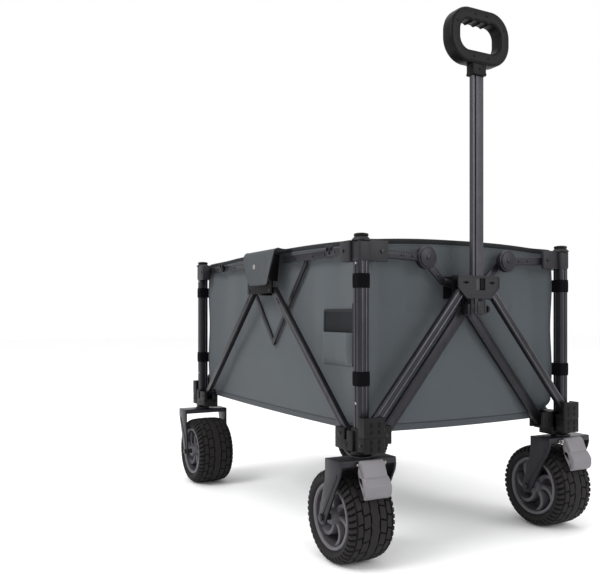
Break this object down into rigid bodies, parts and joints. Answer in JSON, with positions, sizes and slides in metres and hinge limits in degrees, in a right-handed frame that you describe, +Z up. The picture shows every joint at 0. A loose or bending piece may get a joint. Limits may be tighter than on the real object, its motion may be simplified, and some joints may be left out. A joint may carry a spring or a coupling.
{
  "type": "folding wagon",
  "caption": "Folding four-wheeled cargo wagon with a fabric tub on a scissor frame, swivel front wheels with foot brakes, and a tilting telescopic pull handle.",
  "frame": {"origin": "on the ground under the middle of the four corner posts, at the centre of the bounding box's base", "axes": "+Z up, +X forward towards the pull handle, +Y to the wagon's left"},
  "size_m": [0.98, 0.674, 1.116],
  "materials": {
    "tube": "satin charcoal powder coat on extruded tube",
    "casting": "dark grey moulded nylon, fine texture",
    "steel": "satin black painted flat steel",
    "tyre": "matt near-black rubber with moulded tread",
    "rim": "mid-grey moulded plastic",
    "pedal": "light grey moulded plastic",
    "fabric": "mid-grey coated polyester, fine plain weave",
    "binding": "near-black woven webbing",
    "mesh": "dark polyester mesh",
    "black_plastic": "black moulded plastic, lightly textured",
    "nickel": "nickel-plated steel"
  },
  "bodies": {
    "corner_fr": {"corner_post_fr": "tube", "foot_casting_fr": "casting", "fabric_tub": "fabric"},
    "end_strut_fr": {"end_strut_fr": "tube"},
    "front_hub": {"front_hub": "casting"},
    "end_strut_fl": {"end_strut_fl": "tube"},
    "corner_fl": {"corner_post_fl": "tube", "foot_casting_fl": "casting"},
    "side_strut_fr": {"side_strut_fr": "tube"},
    "side_hub_r": {"side_hub_r": "casting"},
    "side_strut_rr": {"side_strut_rr": "tube"},
    "corner_rr": {"corner_post_rr": "tube", "rear_foot_and_fork_rr": "steel"},
    "side_strut_fl": {"side_strut_fl": "tube"},
    "side_hub_l": {"side_hub_l": "casting"},
    "side_strut_rl": {"side_strut_rl": "tube"},
    "corner_rl": {"corner_post_rl": "tube", "rear_foot_and_fork_rl": "steel"},
    "end_strut_rr": {"end_strut_rr": "tube"},
    "rear_hub": {"rear_hub": "casting"},
    "end_strut_rl": {"end_strut_rl": "tube"},
    "end_brace_fr": {"end_brace_fr": "tube"},
    "end_brace_fl": {"end_brace_fl": "tube"},
    "end_rail_fr": {"end_rail_fr": "steel"},
    "end_link_fr": {"end_link_fr": "steel"},
    "side_rail_fr": {"side_rail_fr": "steel"},
    "side_arm_fr": {"side_arm_fr": "steel"},
    "side_link_fr": {"side_link_fr": "steel"},
    "end_rail_fl": {"end_rail_fl": "steel"},
    "end_link_fl": {"end_link_fl": "steel"},
    "side_rail_fl": {"side_rail_fl": "steel"},
    "side_arm_fl": {"side_arm_fl": "steel"},
    "side_link_fl": {"side_link_fl": "steel"},
    "end_rail_rr": {"end_rail_rr": "steel"},
    "end_link_rr": {"end_link_rr": "steel"},
    "side_rail_rr": {"side_rail_rr": "steel"},
    "side_arm_rr": {"side_arm_rr": "steel"},
    "side_link_rr": {"side_link_rr": "steel"},
    "end_rail_rl": {"end_rail_rl": "steel"},
    "end_link_rl": {"end_link_rl": "steel"},
    "side_rail_rl": {"side_rail_rl": "steel"},
    "side_arm_rl": {"side_arm_rl": "steel"},
    "side_link_rl": {"side_link_rl": "steel"},
    "floor_mat": {"floor_mat": "fabric"},
    "fork_fr": {"swivel_fork_fr": "steel"},
    "wheel_fr": {"tyre_fr": "tyre", "rim_fr": "rim"},
    "brake_pedal_fr": {"brake_pedal_fr": "pedal"},
    "fork_fl": {"swivel_fork_fl": "steel"},
    "wheel_fl": {"tyre_fl": "tyre", "rim_fl": "rim"},
    "brake_pedal_fl": {"brake_pedal_fl": "pedal"},
    "wheel_rr": {"tyre_rr": "tyre", "rim_rr": "rim"},
    "wheel_rl": {"tyre_rl": "tyre", "rim_rl": "rim"},
    "handle_base": {"handle_base": "casting"},
    "handle_pole": {"handle_pole": "tube", "handle_grip": "black_plastic"}
  },
  "joints": [
    {"name": "fold", "type": "hinge", "parent": "corner_fr", "child": "end_strut_fr", "pos_m": [0.44775, -0.258, 0.275], "axis": [1, 0, 0], "range_deg": [0, 37.4], "deforming": ["fabric_tub", "floor_mat"]},
    {"name": "front_hub_pivot_r", "type": "hinge", "parent": "end_strut_fr", "child": "front_hub", "pos_m": [0.44775, -0.045, 0.53], "axis": [1, 0, 0], "range_deg": [-37.9, 0]},
    {"name": "front_hub_pivot_l", "type": "hinge", "parent": "front_hub", "child": "end_strut_fl", "pos_m": [0.44775, 0.045, 0.53], "axis": [1, 0, 0], "range_deg": [-37.9, 0]},
    {"name": "corner_fl_pivot", "type": "hinge", "parent": "end_strut_fl", "child": "corner_fl", "pos_m": [0.44775, 0.258, 0.275], "axis": [1, 0, 0], "range_deg": [0, 37.9]},
    {"name": "side_strut_fr_pivot", "type": "hinge", "parent": "corner_fr", "child": "side_strut_fr", "pos_m": [0.38, -0.274, 0.256], "axis": [0, 1, 0], "range_deg": [0, 43.69]},
    {"name": "side_hub_r_front_pivot", "type": "hinge", "parent": "side_strut_fr", "child": "side_hub_r", "pos_m": [0.058, -0.274, 0.544], "axis": [0, 1, 0], "range_deg": [-43.69, 0]},
    {"name": "side_hub_r_rear_pivot", "type": "hinge", "parent": "side_hub_r", "child": "side_strut_rr", "pos_m": [-0.058, -0.274, 0.544], "axis": [0, 1, 0], "range_deg": [-43.69, 0]},
    {"name": "corner_rr_pivot", "type": "hinge", "parent": "side_strut_rr", "child": "corner_rr", "pos_m": [-0.38, -0.274, 0.256], "axis": [0, 1, 0], "range_deg": [0, 43.69]},
    {"name": "side_strut_fl_pivot", "type": "hinge", "parent": "corner_fl", "child": "side_strut_fl", "pos_m": [0.38, 0.274, 0.256], "axis": [0, 1, 0], "range_deg": [0, 43.69]},
    {"name": "side_hub_l_front_pivot", "type": "hinge", "parent": "side_strut_fl", "child": "side_hub_l", "pos_m": [0.058, 0.274, 0.544], "axis": [0, 1, 0], "range_deg": [-43.69, 0]},
    {"name": "side_hub_l_rear_pivot", "type": "hinge", "parent": "side_hub_l", "child": "side_strut_rl", "pos_m": [-0.058, 0.274, 0.544], "axis": [0, 1, 0], "range_deg": [-43.69, 0]},
    {"name": "corner_rl_pivot", "type": "hinge", "parent": "side_strut_rl", "child": "corner_rl", "pos_m": [-0.38, 0.274, 0.256], "axis": [0, 1, 0], "range_deg": [0, 43.69]},
    {"name": "end_strut_rr_pivot", "type": "hinge", "parent": "corner_rr", "child": "end_strut_rr", "pos_m": [-0.44775, -0.258, 0.275], "axis": [1, 0, 0], "range_deg": [0, 37.9]},
    {"name": "rear_hub_pivot_r", "type": "hinge", "parent": "end_strut_rr", "child": "rear_hub", "pos_m": [-0.44775, -0.045, 0.53], "axis": [1, 0, 0], "range_deg": [-37.9, 0]},
    {"name": "rear_hub_pivot_l", "type": "hinge", "parent": "rear_hub", "child": "end_strut_rl", "pos_m": [-0.44775, 0.045, 0.53], "axis": [1, 0, 0], "range_deg": [-37.9, 0]},
    {"name": "end_brace_fr_pivot", "type": "hinge", "parent": "corner_fr", "child": "end_brace_fr", "pos_m": [0.424, -0.218, 0.25], "axis": [1, 0, 0], "range_deg": [0, 37.9]},
    {"name": "end_brace_fl_pivot", "type": "hinge", "parent": "corner_fl", "child": "end_brace_fl", "pos_m": [0.409, 0.218, 0.25], "axis": [1, 0, 0], "range_deg": [-37.9, 0]},
    {"name": "end_rail_fr_pivot", "type": "hinge", "parent": "corner_fr", "child": "end_rail_fr", "pos_m": [0.42, -0.226, 0.607], "axis": [1, 0, 0], "range_deg": [0, 93]},
    {"name": "end_link_fr_pivot", "type": "hinge", "parent": "end_rail_fr", "child": "end_link_fr", "pos_m": [0.411, -0.11, 0.602], "axis": [1, 0, 0], "range_deg": [-148.9, 0]},
    {"name": "side_rail_fr_pivot", "type": "hinge", "parent": "corner_fr", "child": "side_rail_fr", "pos_m": [0.395, -0.263, 0.615], "axis": [0, 1, 0], "range_deg": [-90.5, 0]},
    {"name": "side_arm_fr_pivot", "type": "hinge", "parent": "side_rail_fr", "child": "side_arm_fr", "pos_m": [0.295, -0.26, 0.615], "axis": [0, 1, 0], "range_deg": [0, 163.2]},
    {"name": "side_link_fr_pivot", "type": "hinge", "parent": "side_strut_fr", "child": "side_link_fr", "pos_m": [0.09, -0.25, 0.515], "axis": [0, 1, 0], "range_deg": [-58.8, 0]},
    {"name": "end_rail_fl_pivot", "type": "hinge", "parent": "corner_fl", "child": "end_rail_fl", "pos_m": [0.42, 0.226, 0.607], "axis": [1, 0, 0], "range_deg": [-93, 0]},
    {"name": "end_link_fl_pivot", "type": "hinge", "parent": "end_rail_fl", "child": "end_link_fl", "pos_m": [0.411, 0.11, 0.602], "axis": [1, 0, 0], "range_deg": [0, 148.9]},
    {"name": "side_rail_fl_pivot", "type": "hinge", "parent": "corner_fl", "child": "side_rail_fl", "pos_m": [0.395, 0.263, 0.615], "axis": [0, 1, 0], "range_deg": [-90.5, 0]},
    {"name": "side_arm_fl_pivot", "type": "hinge", "parent": "side_rail_fl", "child": "side_arm_fl", "pos_m": [0.295, 0.26, 0.615], "axis": [0, 1, 0], "range_deg": [0, 163.2]},
    {"name": "side_link_fl_pivot", "type": "hinge", "parent": "side_strut_fl", "child": "side_link_fl", "pos_m": [0.09, 0.25, 0.515], "axis": [0, 1, 0], "range_deg": [-58.8, 0]},
    {"name": "end_rail_rr_pivot", "type": "hinge", "parent": "corner_rr", "child": "end_rail_rr", "pos_m": [-0.42, -0.226, 0.607], "axis": [1, 0, 0], "range_deg": [0, 93]},
    {"name": "end_link_rr_pivot", "type": "hinge", "parent": "end_rail_rr", "child": "end_link_rr", "pos_m": [-0.411, -0.11, 0.602], "axis": [1, 0, 0], "range_deg": [-148.9, 0]},
    {"name": "side_rail_rr_pivot", "type": "hinge", "parent": "corner_rr", "child": "side_rail_rr", "pos_m": [-0.395, -0.263, 0.615], "axis": [0, 1, 0], "range_deg": [0, 90.5]},
    {"name": "side_arm_rr_pivot", "type": "hinge", "parent": "side_rail_rr", "child": "side_arm_rr", "pos_m": [-0.295, -0.26, 0.615], "axis": [0, 1, 0], "range_deg": [-163.2, 0]},
    {"name": "side_link_rr_pivot", "type": "hinge", "parent": "side_strut_rr", "child": "side_link_rr", "pos_m": [-0.09, -0.25, 0.515], "axis": [0, 1, 0], "range_deg": [0, 58.8]},
    {"name": "end_rail_rl_pivot", "type": "hinge", "parent": "corner_rl", "child": "end_rail_rl", "pos_m": [-0.42, 0.226, 0.607], "axis": [1, 0, 0], "range_deg": [-93, 0]},
    {"name": "end_link_rl_pivot", "type": "hinge", "parent": "end_rail_rl", "child": "end_link_rl", "pos_m": [-0.411, 0.11, 0.602], "axis": [1, 0, 0], "range_deg": [0, 148.9]},
    {"name": "side_rail_rl_pivot", "type": "hinge", "parent": "corner_rl", "child": "side_rail_rl", "pos_m": [-0.395, 0.263, 0.615], "axis": [0, 1, 0], "range_deg": [0, 90.5]},
    {"name": "side_arm_rl_pivot", "type": "hinge", "parent": "side_rail_rl", "child": "side_arm_rl", "pos_m": [-0.295, 0.26, 0.615], "axis": [0, 1, 0], "range_deg": [-163.2, 0]},
    {"name": "side_link_rl_pivot", "type": "hinge", "parent": "side_strut_rl", "child": "side_link_rl", "pos_m": [-0.09, 0.25, 0.515], "axis": [0, 1, 0], "range_deg": [0, 58.8]},
    {"name": "floor_mat_lift", "type": "hinge", "parent": "corner_fr", "child": "floor_mat", "pos_m": [0, -0.231, 0.26], "axis": [1, 0, 0], "range_deg": [0, 88.5]},
    {"name": "swivel_fr", "type": "hinge", "parent": "corner_fr", "child": "fork_fr", "pos_m": [0.427, -0.271, 0.205], "axis": [0, 0, 1], "continuous": true},
    {"name": "wheel_fr_spin", "type": "hinge", "parent": "fork_fr", "child": "wheel_fr", "pos_m": [0.386, -0.271, 0.0925], "axis": [0, 1, 0], "continuous": true},
    {"name": "brake_pedal_fr_press", "type": "hinge", "parent": "fork_fr", "child": "brake_pedal_fr", "pos_m": [0.458, -0.271, 0.206], "axis": [0, 1, 0], "range_deg": [-25, 0]},
    {"name": "swivel_fl", "type": "hinge", "parent": "corner_fl", "child": "fork_fl", "pos_m": [0.427, 0.271, 0.205], "axis": [0, 0, 1], "continuous": true},
    {"name": "wheel_fl_spin", "type": "hinge", "parent": "fork_fl", "child": "wheel_fl", "pos_m": [0.386, 0.271, 0.0925], "axis": [0, 1, 0], "continuous": true},
    {"name": "brake_pedal_fl_press", "type": "hinge", "parent": "fork_fl", "child": "brake_pedal_fl", "pos_m": [0.458, 0.271, 0.206], "axis": [0, 1, 0], "range_deg": [-25, 0]},
    {"name": "wheel_rr_spin", "type": "hinge", "parent": "corner_rr", "child": "wheel_rr", "pos_m": [-0.3975, -0.271, 0.0925], "axis": [0, 1, 0], "continuous": true},
    {"name": "wheel_rl_spin", "type": "hinge", "parent": "corner_rl", "child": "wheel_rl", "pos_m": [-0.3975, 0.271, 0.0925], "axis": [0, 1, 0], "continuous": true},
    {"name": "handle_tilt", "type": "hinge", "parent": "front_hub", "child": "handle_base", "pos_m": [0.447, 0, 0.497], "axis": [0, 1, 0], "range_deg": [0, 95]},
    {"name": "handle_slide", "type": "slide", "parent": "handle_base", "child": "handle_pole", "axis": [0, 0, 1], "range_m": [-0.26, 0]}
  ],
  "couplings": [
    {"joint": "front_hub_pivot_r", "follows": "fold", "ratio": -1},
    {"joint": "front_hub_pivot_l", "follows": "fold", "ratio": -1},
    {"joint": "corner_fl_pivot", "follows": "fold", "ratio": 1},
    {"joint": "side_strut_fr_pivot", "follows": "fold", "ratio": 1.1548},
    {"joint": "side_hub_r_front_pivot", "follows": "fold", "ratio": -1.1548},
    {"joint": "side_hub_r_rear_pivot", "follows": "fold", "ratio": -1.1548},
    {"joint": "corner_rr_pivot", "follows": "fold", "ratio": 1.1548},
    {"joint": "side_strut_fl_pivot", "follows": "fold", "ratio": 1.1548},
    {"joint": "side_hub_l_front_pivot", "follows": "fold", "ratio": -1.1548},
    {"joint": "side_hub_l_rear_pivot", "follows": "fold", "ratio": -1.1548},
    {"joint": "corner_rl_pivot", "follows": "fold", "ratio": 1.1548},
    {"joint": "end_strut_rr_pivot", "follows": "fold", "ratio": 1},
    {"joint": "rear_hub_pivot_r", "follows": "fold", "ratio": -1},
    {"joint": "rear_hub_pivot_l", "follows": "fold", "ratio": -1},
    {"joint": "end_brace_fr_pivot", "follows": "fold", "ratio": 1},
    {"joint": "end_brace_fl_pivot", "follows": "fold", "ratio": -1},
    {"joint": "end_rail_fr_pivot", "follows": "fold", "ratio": 2.4733},
    {"joint": "end_link_fr_pivot", "follows": "fold", "ratio": -3.9679},
    {"joint": "side_rail_fr_pivot", "follows": "fold", "ratio": -2.4064},
    {"joint": "side_arm_fr_pivot", "follows": "fold", "ratio": 4.3503},
    {"joint": "side_link_fr_pivot", "follows": "fold", "ratio": -1.5588},
    {"joint": "end_rail_fl_pivot", "follows": "fold", "ratio": -2.4733},
    {"joint": "end_link_fl_pivot", "follows": "fold", "ratio": 3.9679},
    {"joint": "side_rail_fl_pivot", "follows": "fold", "ratio": -2.4064},
    {"joint": "side_arm_fl_pivot", "follows": "fold", "ratio": 4.3503},
    {"joint": "side_link_fl_pivot", "follows": "fold", "ratio": -1.5588},
    {"joint": "end_rail_rr_pivot", "follows": "fold", "ratio": 2.4733},
    {"joint": "end_link_rr_pivot", "follows": "fold", "ratio": -3.9679},
    {"joint": "side_rail_rr_pivot", "follows": "fold", "ratio": 2.4064},
    {"joint": "side_arm_rr_pivot", "follows": "fold", "ratio": -4.3503},
    {"joint": "side_link_rr_pivot", "follows": "fold", "ratio": 1.5588},
    {"joint": "end_rail_rl_pivot", "follows": "fold", "ratio": -2.4733},
    {"joint": "end_link_rl_pivot", "follows": "fold", "ratio": 3.9679},
    {"joint": "side_rail_rl_pivot", "follows": "fold", "ratio": 2.4064},
    {"joint": "side_arm_rl_pivot", "follows": "fold", "ratio": -4.3503},
    {"joint": "side_link_rl_pivot", "follows": "fold", "ratio": 1.5588},
    {"joint": "floor_mat_lift", "follows": "fold", "ratio": 2.3529}
  ]
}
